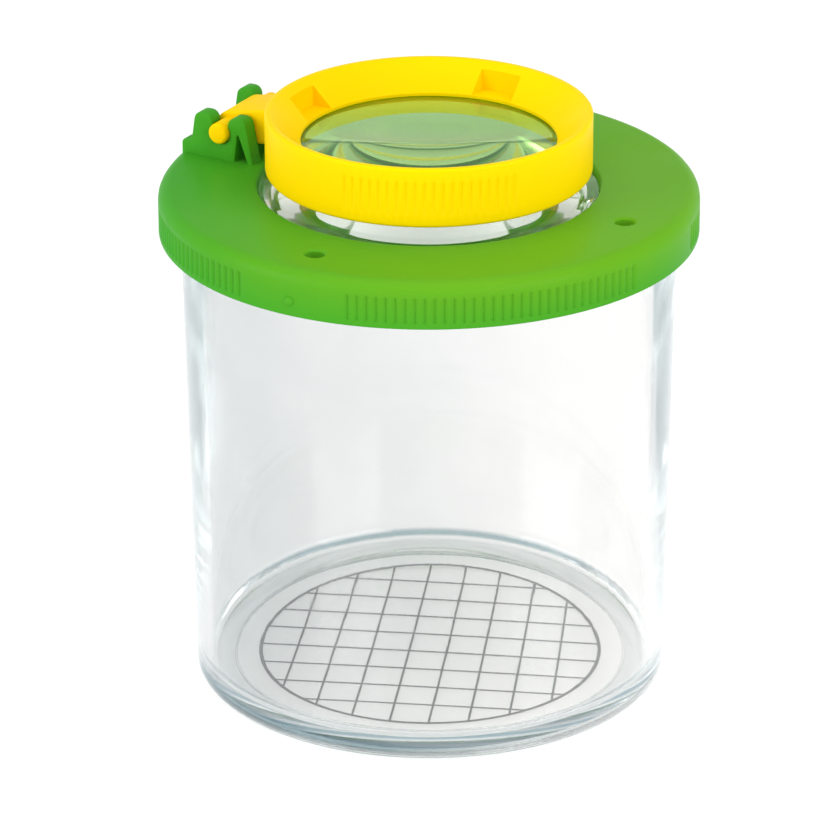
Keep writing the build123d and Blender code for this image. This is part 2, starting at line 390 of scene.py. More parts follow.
def soften_sides(radius, steps, wanted=lambda middle: True):
    """Bevels the edges of the two flat sides that thicken_outline left."""

    def is_side(face):
        return abs(face.normal.y) > FLAT_SIDE

    def is_rim(edge):
        middle = (edge.verts[0].co + edge.verts[1].co) / 2
        return sum(is_side(face) for face in edge.link_faces) == 1 and wanted(middle)

    pick(is_rim, "EDGE")
    bpy.ops.mesh.bevel(offset=radius, offset_type="OFFSET", segments=steps, affect="EDGES")


def put_down(piece):
    """Leaves edit mode with one piece selected and active."""
    deselect_everything()
    piece.select_set(True)
    bpy.context.view_layer.objects.active = piece


def copy_piece(piece, turned=0.0, moved=(0, 0, 0)):
    """Copies a piece with its own mesh, turned about the upright axis and moved."""
    put_down(piece)
    bpy.ops.object.duplicate(linked=False)
    copied = bpy.context.active_object
    copied.matrix_world = Matrix.Translation(moved) @ Matrix.Rotation(turned, 4, "Z")
    bpy.ops.object.transform_apply()
    return copied


def weld(piece, others, operation):
    """Joins helper solids to a piece, or cuts them out of it, and removes them."""
    put_down(others[0])
    for other in others:
        other.select_set(True)
    if len(others) > 1:
        bpy.ops.object.join()
    helper = bpy.context.active_object
    put_down(piece)
    modifier = piece.modifiers.new(operation.title(), "BOOLEAN")
    modifier.operation = operation
    modifier.solver = "EXACT"
    modifier.object = helper
    bpy.ops.object.modifier_apply(modifier=modifier.name)
    put_down(helper)
    bpy.ops.object.delete()
    put_down(piece)


def clear_slivers(piece):
    """Triangulates a joined piece and dissolves the faces without area that the cuts left."""
    put_down(piece)
    bpy.ops.object.mode_set(mode="EDIT")
    select_all()
    bpy.ops.mesh.quads_convert_to_tris(quad_method="BEAUTY", ngon_method="BEAUTY")
    bpy.ops.mesh.dissolve_degenerate(threshold=SLIVER)
    close_skin()


def finish_piece(piece, body, node, material, smooth=SMOOTH_ANGLE):
    """Shades a piece, gives it its finish and puts it in the place of its CAD node."""
    if not piece.data.polygons:
        raise RuntimeError(piece.name + " came out empty")
    put_down(piece)
    bpy.ops.object.shade_smooth_by_angle(angle=smooth)
    piece.data.materials.clear()
    piece.data.materials.append(material)
    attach(piece, body)
    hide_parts(node)


def make_thread(name, root_radius, outwards, start_height, start_angle):
    """Two helical ribs on a round wall, tapered at both ends."""
    t = bpy.context.scene.bug_jar_thread
    wall = root_radius - outwards * t.sink
    crest = root_radius + outwards * t.height
    corners = [
        (wall, start_height - t.root / 2, 0),
        (crest, start_height - t.crest / 2, 0),
        (crest, start_height + t.crest / 2, 0),
        (wall, start_height + t.root / 2, 0),
    ]
    rib = draw_outline(name, corners, closed=True)
    put_down(rib)
    screw = rib.modifiers.new("Screw", "SCREW")
    screw.axis = "Z"
    screw.angle = math.pi
    screw.screw_offset = t.lead / 2
    screw.steps = screw.render_steps = THREAD_STEPS
    screw.use_smooth_shade = False
    bpy.ops.object.modifier_apply(modifier=screw.name)
    bpy.ops.object.mode_set(mode="EDIT")
    for sign in (1, -1):
        pick(lambda edge: edge.is_boundary and (edge.verts[0].co.x * sign > 0), "EDGE")
        bpy.ops.mesh.edge_face_add()
    for degrees, share in THREAD_TAPER:
        radius = root_radius + outwards * t.height * share

        def is_end(v):
            around = math.degrees(math.atan2(abs(v.co.y), abs(v.co.x)))
            on_crest = abs(math.hypot(v.co.x, v.co.y) - crest) < ON_CREST
            return on_crest and abs(around - degrees) < HALF_DEGREE

        pick(is_end)
        bpy.ops.transform.resize(value=(radius / crest, radius / crest, 1), center_override=(0, 0, 0))
    close_skin()
    put_down(rib)
    rib.rotation_euler.z = start_angle
    bpy.ops.object.transform_apply()
    return [rib, copy_piece(rib, math.pi)]


def sink_grooves(radius, low, high, depths, centres, half_span, pitch):
    """Pulls columns of a round wall inwards, as upright grooves between finger ribs, placed in degrees."""

    def off_groove(v):
        around = math.degrees(math.atan2(v.co.y, v.co.x))
        nearest = min(centres, key=lambda centre: abs((around - centre + 180) % 360 - 180))
        off = (around - nearest + 180) % 360 - 180
        if abs(off) > half_span + pitch / 2:
            return None
        first = (off + half_span) / pitch
        return abs(first - round(first)) * pitch

    for off_middle, depth in depths:

        def is_column(v):
            if not low - TOUCH < v.co.z < high + TOUCH or math.hypot(v.co.x, v.co.y) < radius - WALL_REACH:
                return False
            off = off_groove(v)
            return off is not None and abs(off - off_middle) < SAME_COLUMN

        pick(is_column)
        shrink = (radius - depth) / radius
        bpy.ops.transform.resize(value=(shrink, shrink, 1), center_override=(0, 0, 0))


def fill(tree, entry, value):
    """Links a node's input to another node's output, or sets its value."""
    if isinstance(value, bpy.types.NodeSocket):
        tree.links.new(value, entry)
    else:
        entry.default_value = value


def add_node(tree, kind, x, y, choices=None, **inputs):
    """Adds a node at a place in the tree, makes its choices and fills its inputs by name."""
    made = tree.nodes.new(kind)
    made.location = (x, y)
    for name, value in (choices or {}).items():
        setattr(made, name, value)
    for name, value in inputs.items():
        fill(tree, made.inputs[name.replace("_", " ")], value)
    return made


def noise(tree, x, y, place, **inputs):
    """Adds a noise texture and returns its value."""
    return add_node(tree, "ShaderNodeTexNoise", x, y, Vector=place, **inputs).outputs["Fac"]


def remap(tree, x, y, value, kind="LINEAR", **inputs):
    """Adds a change of range and returns its result."""
    choices = {"interpolation_type": kind}
    return add_node(tree, "ShaderNodeMapRange", x, y, choices, Value=value, **inputs).outputs["Result"]


def calculate(tree, x, y, operation, *values, clamp=False):
    """Adds a calculation with values or outputs and returns its result."""
    made = add_node(tree, "ShaderNodeMath", x, y, {"operation": operation, "use_clamp": clamp})
    for entry, value in zip(made.inputs, values):
        fill(tree, entry, value)
    return made.outputs["Value"]


def mix_tones(tree, x, y, factor, first, second):
    """Adds a mix of two colours and returns its result."""
    choices = {"data_type": "RGBA"}
    return add_node(tree, "ShaderNodeMix", x, y, choices, Factor=factor, A=first, B=second).outputs["Result"]


def new_group(name, inputs, outputs):
    """Starts a node group, and returns it with what it is given."""
    group = bpy.data.node_groups.new(name, "ShaderNodeTree")
    kinds = {"Vector": "Vector", "Deep": "Color", "Light": "Color", "Color": "Color"}
    for direction, labels in (("INPUT", inputs), ("OUTPUT", outputs)):
        for label in labels:
            kind = "NodeSocket" + kinds.get(label, "Float")
            group.interface.new_socket(label, in_out=direction, socket_type=kind)
    return group, add_node(group, "NodeGroupInput", -800, 0).outputs


def end_group(group, **results):
    """Ends a node group with what it gives back."""
    add_node(group, "NodeGroupOutput", 400, 0, **results)
    return group


def moulded_grain(name):
    """Node group: the faint grain and unevenness of a moulded skin."""
    group, given = new_group(name, ("Vector", "Smoothest", "Roughest"), ("Roughness", "Height"))
    fine = noise(group, -380, 160, given["Vector"], Scale=2200.0, Detail=3.0, Roughness=0.6)
    broad = noise(group, -380, -120, given["Vector"], Scale=55.0, Detail=2.0, Roughness=0.5)
    bounds = {"To_Min": given["Smoothest"], "To_Max": given["Roughest"]}
    rough = remap(group, -160, -120, broad, From_Min=0.35, From_Max=0.65, **bounds)
    fine_share = 0.08
    height = calculate(group, -160, 160, "MULTIPLY_ADD", fine, fine_share, broad)
    return end_group(group, Roughness=rough, Height=height)


def handling_marks(name):
    """Node group: sparse fine rubs from being handled, as a mask."""
    group, given = new_group(name, ("Vector", "Amount"), ("Mask",))
    masks = []
    for y, tilt, scale in ((0, 0.5, (90, 2600, 140)), (-320, -0.9, (2200, 120, 160))):
        stretch = {"Rotation": (0.2, 0.3, tilt), "Scale": scale}
        along = add_node(group, "ShaderNodeMapping", -600, y, Vector=given["Vector"], **stretch)
        streak = noise(group, -400, y, along.outputs["Vector"], Scale=1.0, Detail=1.0)
        masks.append(remap(group, -200, y, streak, From_Min=0.70, From_Max=0.78))
    both = calculate(group, 0, -80, "MAXIMUM", *masks)
    return end_group(group, Mask=calculate(group, 120, 80, "MULTIPLY", both, given["Amount"]))


def painted_light_drift(name):
    """Node group: painted light and shade, a slow change from a shaded tone to a lit tone across a piece and
    up it, with faint real flow marks.
    """
    reach = ("Across Low", "Across High", "Up Low", "Up High", "Lower Share")
    group, given = new_group(name, ("Vector", *reach, "Deep", "Light"), ("Color",))
    apart = add_node(group, "ShaderNodeSeparateXYZ", -600, 220, Vector=given["Vector"]).outputs
    sides = {"From_Min": given["Across Low"], "From_Max": given["Across High"]}
    across = remap(group, -400, 360, apart["X"], "SMOOTHSTEP", **sides)
    heights = {"From_Min": given["Up Low"], "From_Max": given["Up High"]}
    up = remap(group, -400, 100, apart["Z"], To_Min=given["Lower Share"], **heights)
    flow = noise(group, -600, -160, given["Vector"], Scale=70.0, Detail=3.0, Distortion=0.6)
    uneven = remap(group, -400, -160, flow, To_Min=-0.1, To_Max=0.1)
    tone = calculate(group, -200, 0, "MULTIPLY_ADD", across, up, uneven, clamp=True)
    return end_group(group, Color=mix_tones(group, 0, 0, tone, given["Deep"], given["Light"]))


def round_place(name):
    """Node group: a point's distance from the upright axis, its height and its place across."""
    group, given = new_group(name, ("Vector",), ("Radius", "Height", "Across"))
    apart = add_node(group, "ShaderNodeSeparateXYZ", -600, 0, Vector=given["Vector"]).outputs
    flat = add_node(group, "ShaderNodeCombineXYZ", -400, 120, X=apart["X"], Y=apart["Y"]).outputs["Vector"]
    from_axis = add_node(group, "ShaderNodeVectorMath", -200, 120, {"operation": "LENGTH"}, Vector=flat)
    return end_group(group, Radius=from_axis.outputs["Value"], Height=apart["Z"], Across=apart["X"])


def use_group(tree, x, y, name, make, **inputs):
    """Places a node group, which is built once and then shared, and returns its outputs."""
    group = bpy.data.node_groups.get(name) or make(name)
    return add_node(tree, "ShaderNodeGroup", x, y, {"node_tree": group}, **inputs).outputs


def new_material(name):
    """An empty node material, its tree and the place of a point on its piece."""
    material = bpy.data.materials.new(name)
    material.use_nodes = True
    tree = material.node_tree
    tree.nodes.clear()
    return material, tree, add_node(tree, "ShaderNodeTexCoord", -1200, 0).outputs["Object"]


def end_material(tree, **ends):
    """Ends a material with its surface and, where it has one, its inside."""
    add_node(tree, "ShaderNodeOutputMaterial", 500, 0, **ends)


def skin_nodes(tree, place, smoothest, roughest, marks, bump, distance):
    """Places grain and handling marks in a material, and returns the roughness and normal."""
    rough = {"Smoothest": smoothest, "Roughest": roughest}
    grain = use_group(tree, -900, 200, "Moulded grain", moulded_grain, Vector=place, **rough)
    rubbed = use_group(tree, -900, -100, "Handling marks", handling_marks, Vector=place, Amount=marks)
    relief = {"Strength": bump, "Distance": distance, "Height": grain["Height"]}
    return {
        "Roughness": calculate(tree, -600, 200, "ADD", grain["Roughness"], rubbed["Mask"]),
        "Normal": add_node(tree, "ShaderNodeBump", -600, -100, **relief).outputs["Normal"],
    }


def painted_light_reach(across, up=(0.0, 1.0), lower_share=1.0):
    """Where the painted light and shade start and end, in millimetres, and how much of the lit tone is left
    low down.
    """
    reach = {"Lower_Share": lower_share}
    for name, (low, high) in (("Across", across), ("Up", up)):
        reach[name + "_Low"] = low * MM
        reach[name + "_High"] = high * MM
    return reach


def painted_light_nodes(tree, place, deep, light, reach, heading=0.0):
    """Places the painted light and shade in a material, turned to a heading, and returns its colour."""
    turned = add_node(tree, "ShaderNodeMapping", -900, 500, Vector=place, Rotation=(0, 0, heading))
    inputs = {"Vector": turned.outputs["Vector"], "Deep": (*deep, 1), "Light": (*light, 1), **reach}
    return use_group(tree, -600, 500, "Painted light drift", painted_light_drift, **inputs)["Color"]


def round_nodes(tree, place):
    """Places the distance from the axis, the height and the place across in a material."""
    return use_group(tree, -900, 800, "Round place", round_place, Vector=place)


def mask_between(tree, value, start, end, first=0.0, last=1.0):
    """A mask that changes between two places, given in millimetres."""
    places = {"From_Min": start * MM, "From_Max": end * MM}
    return remap(tree, -700, 800, value, To_Min=first, To_Max=last, **places)


def paint_foot_shade(tree, place, plain, tone):
    """Paints shade on a clear wall just above the foot: a dark band where one looks along the thick floor,
    strongest towards minus X.
    """
    spot = round_nodes(tree, place)
    mask = mask_between(tree, spot["Radius"], 29.6, 30.2)
    for other in (
        mask_between(tree, spot["Height"], 0.7, 1.3),
        mask_between(tree, spot["Height"], 2.1, 2.9, first=1.0, last=0.0),
        mask_between(tree, spot["Across"], 10.0, 30.0, first=0.9, last=0.25),
    ):
        mask = calculate(tree, -500, 800, "MULTIPLY", mask, other)
    return mix_tones(tree, -400, 500, mask, plain, (*tone, 1))


def clear_plastic(name, index, tones, reach, tint, density, skin, heading=0.0, band=None):
    """Clear moulded plastic that lets lamp light through and takes on a tint where it is thick."""
    material, tree, place = new_material(name)
    finish = skin_nodes(tree, place, distance=0.2 * MM, **skin)
    # Painted light and shade: the base tone goes from one given tone to the other over the piece.
    tone = painted_light_nodes(tree, place, *tones, reach, heading)
    # Painted shade: where a band tone is given, a dark band just above the foot.
    if band is not None:
        tone = paint_foot_shade(tree, place, tone, band)
    body = {"Base_Color": tone, "IOR": index, "Transmission_Weight": 1.0, **finish}
    plastic = add_node(tree, "ShaderNodeBsdfPrincipled", -300, 0, **body)
    through = add_node(tree, "ShaderNodeBsdfTransparent", -300, -400, Color=(0.96, 0.97, 0.97, 1))
    path = add_node(tree, "ShaderNodeLightPath", -300, 400)
    mix = add_node(tree, "ShaderNodeMixShader", 100, 0)
    sources = (path.outputs["Is Shadow Ray"], plastic.outputs["BSDF"], through.outputs["BSDF"])
    for entry, source in zip(mix.inputs, sources):
        tree.links.new(source, entry)
    inside = add_node(tree, "ShaderNodeVolumeAbsorption", 100, -300, Color=(*tint, 1), Density=density)
    end_material(tree, Surface=mix.outputs["Shader"], Volume=inside.outputs["Volume"])
    return material


def lens_plastic(name, tones, reach, heading=0.0):
    """Polished clear plastic of a lens."""
    tint = bpy.context.scene.bug_jar_finishes.lens_tint
    skin = {"smoothest": 0.0, "roughest": 0.02, "marks": 0.05, "bump": 0.02}
    return clear_plastic(name, 1.49, tones, reach, tint, density=12.0, skin=skin, heading=heading)


def plain_surface(tree, **inputs):
    """Ends a material with one Principled surface."""
    surface = add_node(tree, "ShaderNodeBsdfPrincipled", -100, 0, **inputs)
    end_material(tree, Surface=surface.outputs["BSDF"])


def coloured_plastic(name, deep, light, reach, gloss):
    """Opaque moulded plastic with painted shade and painted light: its tone goes slowly from a shaded tone
    to a lit tone over the piece.
    """
    material, tree, place = new_material(name)
    skin = skin_nodes(tree, place, smoothest=0.30, roughest=0.42, marks=0.15, bump=0.12, distance=0.1 * MM)
    tone = painted_light_nodes(tree, place, deep, light, reach)
    plain_surface(tree, Base_Color=tone, IOR=1.5, Specular_IOR_Level=gloss, **skin)
    return material


def thin_film(name, tone, radius):
    """Clear film, too thin to bend the view, a little milky and greyer along its cut edge."""
    material, tree, place = new_material(name)
    skin = skin_nodes(tree, place, smoothest=0.15, roughest=0.25, marks=0.1, bump=0.05, distance=0.05 * MM)
    edge, edge_width = radius / MM, 0.25
    from_axis = round_nodes(tree, place)["Radius"]
    milk = mask_between(tree, from_axis, edge - edge_width, edge, first=0.07, last=0.6)
    plain_surface(tree, Base_Color=(*tone, 1), IOR=1.5, Specular_IOR_Level=0.1, Alpha=milk, **skin)
    return material


def printing_ink(name, tone):
    """Ink of the printed lines, a little thinner here and there."""
    material, tree, place = new_material(name)
    skin = skin_nodes(tree, place, smoothest=0.5, roughest=0.7, marks=0.1, bump=0.1, distance=0.05 * MM)
    print_run = noise(tree, -600, 500, place, Scale=900.0, Detail=2.0)
    thin_tone = [1.7 * part for part in tone]
    ink = mix_tones(tree, -350, 500, print_run, (*tone, 1), (*thin_tone, 1))
    plain_surface(tree, Base_Color=ink, Specular_IOR_Level=0.05, **skin)
    return material


class BUGJAR_OT_jar_body(Operator):
    """Model the clear jar with its foot, floor and screw thread"""

    bl_idname = "bugjar.jar_body"
    bl_label = "Jar"

    def execute(self, context):
        j, t, f = settings_of("jar", "thread", "finishes")
        draft = (j.rim_radius - j.base_radius) / j.height
        floor_radius = j.base_radius + draft * j.floor_top - j.wall
        corners = [
            (0, j.recess_depth, 0),
            (j.recess_radius, j.recess_depth, 0),
            (j.recess_radius, 0, FINE_ROUND),
            (j.base_radius, 0, j.foot_round),
            (j.rim_radius, j.height, j.rim_round),
            (j.rim_radius - j.wall, j.height, j.rim_round),
            (floor_radius, j.floor_top, j.inside_round),
            (0, j.floor_top, 0),
        ]
        jar = draw_outline("clear_jar", corners, closed=False)
        turn_outline()
        ribs = make_thread("jar_thread", j.rim_radius, 1, t.jar_start, t.jar_turn)
        weld(jar, ribs, "UNION")
        clear_slivers(jar)
        # Painted shade at the foot and towards minus X, and a painted dark band just above the foot.
        plastic = clear_plastic(
            "Clear jar",
            index=1.57,
            tones=(f.jar_painted_shade, f.jar_wall),
            reach=painted_light_reach((-80, 34), (0.0, 0.45), lower_share=0.0),
            tint=f.jar_tint,
            density=8.0,
            skin={"smoothest": 0.0, "roughest": 0.03, "marks": 0.06, "bump": 0.03},
            band=f.jar_painted_band,
        )
        finish_piece(jar, "jar", "jar_body", plastic)
        return {"FINISHED"}


class BUGJAR_OT_measuring_disc(Operator):
    """Model the clear film disc under the floor"""

    bl_idname = "bugjar.measuring_disc"
    bl_label = "Measuring disc"

    def execute(self, context):
        j, f = settings_of("jar", "finishes")
        corners = [
            (0, j.disc_low, 0),
            (j.disc_radius, j.disc_low, FILM_ROUND),
            (j.disc_radius, j.disc_high, FILM_ROUND),
            (0, j.disc_high, 0),
        ]
        disc = draw_outline("film_disc", corners, closed=False, steps=2)
        turn_outline()
        film = thin_film("Clear film", f.film, j.disc_radius)
        finish_piece(disc, "jar", "measuring_disc", film)
        return {"FINISHED"}


class BUGJAR_OT_measuring_grid(Operator):
    """Give the printed lines of the measuring grid their ink"""

    bl_idname = "bugjar.measuring_grid"
    bl_label = "Measuring grid"

    def execute(self, context):
        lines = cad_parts["measuring_grid"]
        ink = printing_ink("Grid ink", context.scene.bug_jar_finishes.ink)
        if not lines.material_slots:
            raise RuntimeError("the measuring grid has no material slot")
        for holder in lines.material_slots:
            holder.material = ink
        return {"FINISHED"}


class BUGJAR_OT_lid(Operator):
    """Model the screw lid with its ribs, lens seat, air holes and hinge forks"""

    bl_idname = "bugjar.lid"
    bl_label = "Lid"

    def execute(self, context):
        s, t, f = settings_of("lid", "thread", "finishes")
        rib_end, skirt_round = 0.4 * MM, 0.4 * MM
        rim_top = s.skirt_bottom + s.plain_rim
        rib_low, rib_high = rim_top + s.rib_depth, s.top - s.edge_round - rib_end
        corners = [
            (s.skirt_inner, s.skirt_bottom, EDGE_ROUND),
            (s.radius, s.skirt_bottom, EDGE_ROUND),
            (s.radius, rim_top, 0),
            (s.radius, rib_low, 0),
            (s.radius, rib_high, 0),
            (s.radius, s.top, s.edge_round),
            (s.opening, s.top, SOFT_ROUND),
            (s.opening, s.seat, 0),
            (s.ledge, s.seat, FINE_ROUND),
            (s.ledge, s.ledge_under, FINE_ROUND),
            (s.collar, s.ledge_under, FINE_ROUND),
            (s.collar, s.under, SOFT_ROUND),
            (s.skirt_inner, s.under, skirt_round),
        ]
        lid = draw_outline("screw_lid", corners, closed=True)
        turn_outline(LID_STEPS)
        flank, flank_share = 0.5, 0.3
        depths = ((0.0, s.rib_depth), (flank, flank_share * s.rib_depth))
        groups = (45, 135, -135, -45)
        sink_grooves(s.radius, rib_low, rib_high, depths, groups, half_span=32.0, pitch=2.0)
        weld(lid, self.air_holes(s), "DIFFERENCE")
        threads = make_thread("lid_thread", s.skirt_inner, -1, t.lid_start, 0.0)
        weld(lid, threads + self.forks(s) + [self.gate_mark(s)], "UNION")
        clear_slivers(lid)
        # Painted shade on the hinge side and low on the skirt, painted light on the far side.
        reach = painted_light_reach((-42, 25), (61, 67), lower_share=0.1)
        green = coloured_plastic("Green lid", f.lid_deep, f.lid_light, reach, gloss=0.05)
        finish_piece(lid, "lid", "lid", green)
        return {"FINISHED"}

    def air_holes(self, s):
        """Three round cutters with a flared mouth."""
        low, high = s.under - MM, s.top + MM
        flare = s.hole_radius + SOFT_ROUND
        flare_low, flare_high = s.top - 0.25 * MM, s.top + 0.05 * MM
        corners = [
            (0, low, 0),
            (s.hole_radius, low, 0),
            (s.hole_radius, flare_low, 0),
            (flare, flare_high, 0),
            (flare, high, 0),
            (0, high, 0),
        ]
        first = draw_outline("air_hole", corners, closed=False)
        turn_outline(HOLE_STEPS)
        put_down(first)
        first.location = (s.hole_ring, 0, 0)
        bpy.ops.object.transform_apply()
        return [first] + [copy_piece(first, math.radians(angle)) for angle in (90, -90)]

    def forks(self, s):
        """Two snap forks, drawn from the side and thickened."""
        x, z = -s.hinge_x, s.hinge_z
        sink, foot_spread, side_round = 0.8 * MM, 1.3 * MM, 0.18 * MM
        prong_width, prong_round = 2.55 * MM, 1.1 * MM
        step_width, step_slope, step_round = 2.1 * MM, 0.65 * MM, 0.55 * MM
        slit_inset, slit_half, slit_lean, slit_rise = 0.625 * MM, MM, 0.5 * MM, 4.0 * MM
        foot = s.top - sink
        far, near = x - s.throat, x + s.throat
        outer, inner = far - prong_width, near + prong_width
        slit = inner - slit_inset
        seat_top = z + math.sqrt(s.seat_radius**2 - s.throat**2)
        corners = [
            (far, seat_top, 0),
            (far, s.fork_top, prong_round),
            (outer, s.fork_top, prong_round),
            (outer - step_slope, s.fork_ledge, step_round),
            (outer - step_width, s.fork_ledge, step_round),
            (outer - step_width, foot, 0),
            (slit - slit_half, foot, 0),
            (slit - slit_half, s.top, 0),
            (slit - slit_lean, s.top + slit_rise, FINE_ROUND),
            (slit + slit_half, s.top, 0),
            (slit + slit_half, foot, 0),
            (inner + foot_spread, foot, 0),
            (inner, s.fork_top, prong_round),
            (near, s.fork_top, prong_round),
            (near, seat_top, 0),
        ]
        seat = ((x, z), -math.pi - 2 * math.acos(s.throat / s.seat_radius), ARC_STEPS)
        fork = draw_outline("hinge_fork", corners, closed=False, steps=5, arc=seat)
        thicken_outline(s.fork_near, s.fork_near + s.fork_width)
        soften_sides(side_round, 2, lambda middle: middle.z > foot + TOUCH)
        put_down(fork)
        return [fork, copy_piece(fork, moved=(0, -2 * s.fork_near - s.fork_width, 0))]

    def gate_mark(self, s):
        """The small stub that the mould's gate leaves on the plain part of the skirt."""
        radius, place = 0.6 * MM, (0, -s.radius, s.skirt_bottom + 2.0 * MM)
        deselect_everything()
        bpy.ops.mesh.primitive_uv_sphere_add(segments=32, ring_count=16, radius=radius, location=place)
        stub = bpy.context.active_object
        stub.scale = (1.1, 0.6, 1.0)
        bpy.ops.object.transform_apply()
        return stub


class BUGJAR_OT_lid_lens(Operator):
    """Model the lens that lies in the lid's opening"""

    bl_idname = "bugjar.lid_lens"
    bl_label = "Lid lens"

    def execute(self, context):
        n, f = settings_of("lenses", "finishes")
        flange_round = 0.25 * MM
        corners = [
            (0, n.lid_low, 0),
            (n.lid_radius, n.lid_low, EDGE_ROUND),
            (n.lid_radius, n.lid_shoulder, flange_round),
            (n.lid_dome, n.lid_shoulder, 0),
        ]
        lens = draw_outline("lid_lens_dome", corners, closed=False, steps=3)
        draw_dome(n.lid_dome, n.lid_shoulder, n.lid_rise)
        turn_outline()
        tones = (f.lid_lens_edge, f.lens_clear)
        plastic = lens_plastic("Clear lid lens", tones, painted_light_reach((-22, 22)))
        finish_piece(lens, "lens", "lid_lens", plastic, LENS_SMOOTH_ANGLE)
        return {"FINISHED"}


class BUGJAR_OT_magnifier_frame(Operator):
    """Model the folding ring with its funnel, finger ribs, arm and hinge pin"""

    bl_idname = "bugjar.magnifier_frame"
    bl_label = "Magnifier frame"

    def execute(self, context):
        m, n, s, f = settings_of("magnifier", "lenses", "lid", "finishes")
        rim_round, foot_round, lip_round, lip = 0.35 * MM, 0.5 * MM, 0.1 * MM, 0.4 * MM
        grip_gap, grip_slope, bead = 1.6 * MM, 0.3 * MM, 0.2 * MM
        grip_low, grip_high = m.bottom + grip_gap, m.top - grip_gap
        rib_low, rib_high = grip_low + grip_slope, grip_high - grip_slope
        lip_under = m.lip_top - lip
        bead_middle, bead_low, bore_low = (n.low - down * MM for down in (0.3, 0.6, 0.9))
        corners = [
            (m.lower_bore, m.bottom, EDGE_ROUND),
            (m.radius, m.bottom, foot_round),
            (m.radius, grip_low, 0),
            (m.radius, rib_low, 0),
            (m.radius, rib_high, 0),
            (m.radius, grip_high, 0),
            (m.radius, m.top, rim_round),
            (m.radius - m.rim, m.top, rim_round),
            (m.lip_radius, m.lip_top, lip_round),
            (m.lip_radius, lip_under, 0),
            (m.bore, lip_under, 0),
            (m.bore, n.low, 0),
            (m.bore - bead, bead_middle, 0),
            (m.bore, bead_low, 0),
            (m.bore, bore_low, 0),
            (m.lower_bore, bore_low, 0),
        ]
        ring = draw_outline("magnifier_ring", corners, closed=True, steps=4)
        turn_outline(RING_STEPS)
        depths = ((0.0, m.grip_depth),)
        sink_grooves(m.radius, rib_low, rib_high, depths, (60, -60), half_span=30.4, pitch=3.2)
        weld(ring, self.pockets(m), "DIFFERENCE")
        weld(ring, [self.arm(m, s)], "UNION")
        weld(ring, [self.pin(m, s)], "UNION")
        clear_slivers(ring)
        # Painted shade on the hinge side and a little low down, painted light on the far side.
        reach = painted_light_reach((-30, 10), (68, 77), lower_share=0.8)
        yellow = coloured_plastic("Yellow frame", f.frame_deep, f.frame_light, reach, gloss=0.03)
        finish_piece(ring, "magnifier", "magnifier_frame", yellow)
        return {"FINISHED"}

    def pockets(self, m):
        """Four cutters for the pockets in the funnel, slices of a round disc."""
        height = m.top - m.lip_top + MM
        middle = (0, 0, m.lip_top + height / 2)
        half, inner_end = m.pocket_width / 2, 12 * MM
        deselect_everything()
        bpy.ops.mesh.primitive_cylinder_add(
            vertices=180, radius=m.pocket_radius, depth=height, location=middle
        )
        first = bpy.context.active_object
        bpy.ops.object.transform_apply()
        bpy.ops.object.mode_set(mode="EDIT")
        cuts = (((0, half, 0), (0, 1, 0)), ((0, -half, 0), (0, -1, 0)), ((inner_end, 0, 0), (-1, 0, 0)))
        for place, normal in cuts:
            select_all()
            bpy.ops.mesh.bisect(
                plane_co=place, plane_no=normal, use_fill=True, clear_outer=True, threshold=TOUCH
            )
        face_outwards()
        put_down(first)
        return [first] + [copy_piece(first, math.radians(angle)) for angle in (90, 180, 270)]

    def arm(self, m, s):
        """Arm and hinge barrel, drawn from the side and thickened."""
        x, z = -s.hinge_x, s.hinge_z
        end = -m.radius + 0.75 * MM
        low, high = m.bottom + 0.5 * MM, m.bottom + 5.5 * MM
        side_round = 0.35 * MM
        corners = [(x, z - m.barrel, 0), (end, low, 0), (end, high, 0), (x, z + m.barrel, 0)]
        barrel = ((x, z), math.pi, BARREL_STEPS)
        arm = draw_outline("magnifier_arm", corners, closed=False, arc=barrel)
        thicken_outline(-m.arm_half, m.arm_half)
        soften_sides(side_round, 3, lambda middle: middle.x < end - TOUCH)
        put_down(arm)
        return arm

    def pin(self, m, s):
        """Hinge pin with rounded ends."""
        end_round, axis = 0.45 * MM, (-s.hinge_x, 0, s.hinge_z)
        deselect_everything()
        bpy.ops.mesh.primitive_cylinder_add(
            vertices=48,
            radius=m.pin_radius,
            depth=2 * m.pin_half,
            location=axis,
            rotation=(math.pi / 2, 0, 0),
        )
        pin = bpy.context.active_object
        bpy.ops.object.transform_apply()
        bpy.ops.object.mode_set(mode="EDIT")
        pick(lambda e: abs(e.verts[0].co.y + e.verts[1].co.y) > 2 * m.pin_half - TOUCH, "EDGE")
        bpy.ops.mesh.bevel(offset=end_round, offset_type="OFFSET", segments=4, affect="EDGES")
        put_down(pin)
        return pin


class BUGJAR_OT_magnifier_lens(Operator):
    """Model the lens with two curved faces that the frame holds"""

    bl_idname = "bugjar.magnifier_lens"
    bl_label = "Magnifier lens"

    def execute(self, context):
        n, f = settings_of("lenses", "finishes")
        corners = [
            (n.dome, n.low, 0),
            (n.radius, n.low, EDGE_ROUND),
            (n.radius, n.high, EDGE_ROUND),
            (n.dome, n.high, 0),
        ]
        lens = draw_outline("magnifier_lens_body", corners, closed=False, steps=3)
        draw_dome(n.dome, n.high, n.rise)
        draw_dome(n.dome, n.low, -n.fall)
        turn_outline()
        # The green tone is a painted reflection of the green lid on one side of the lens.
        tones = (f.lens_green_reflection, f.lens_clear)
        reach = painted_light_reach((-8, 16))
        plastic = lens_plastic("Clear magnifier lens", tones, reach, heading=math.radians(60))
        finish_piece(lens, "magnifier", "magnifier_lens", plastic, LENS_SMOOTH_ANGLE)
        return {"FINISHED"}


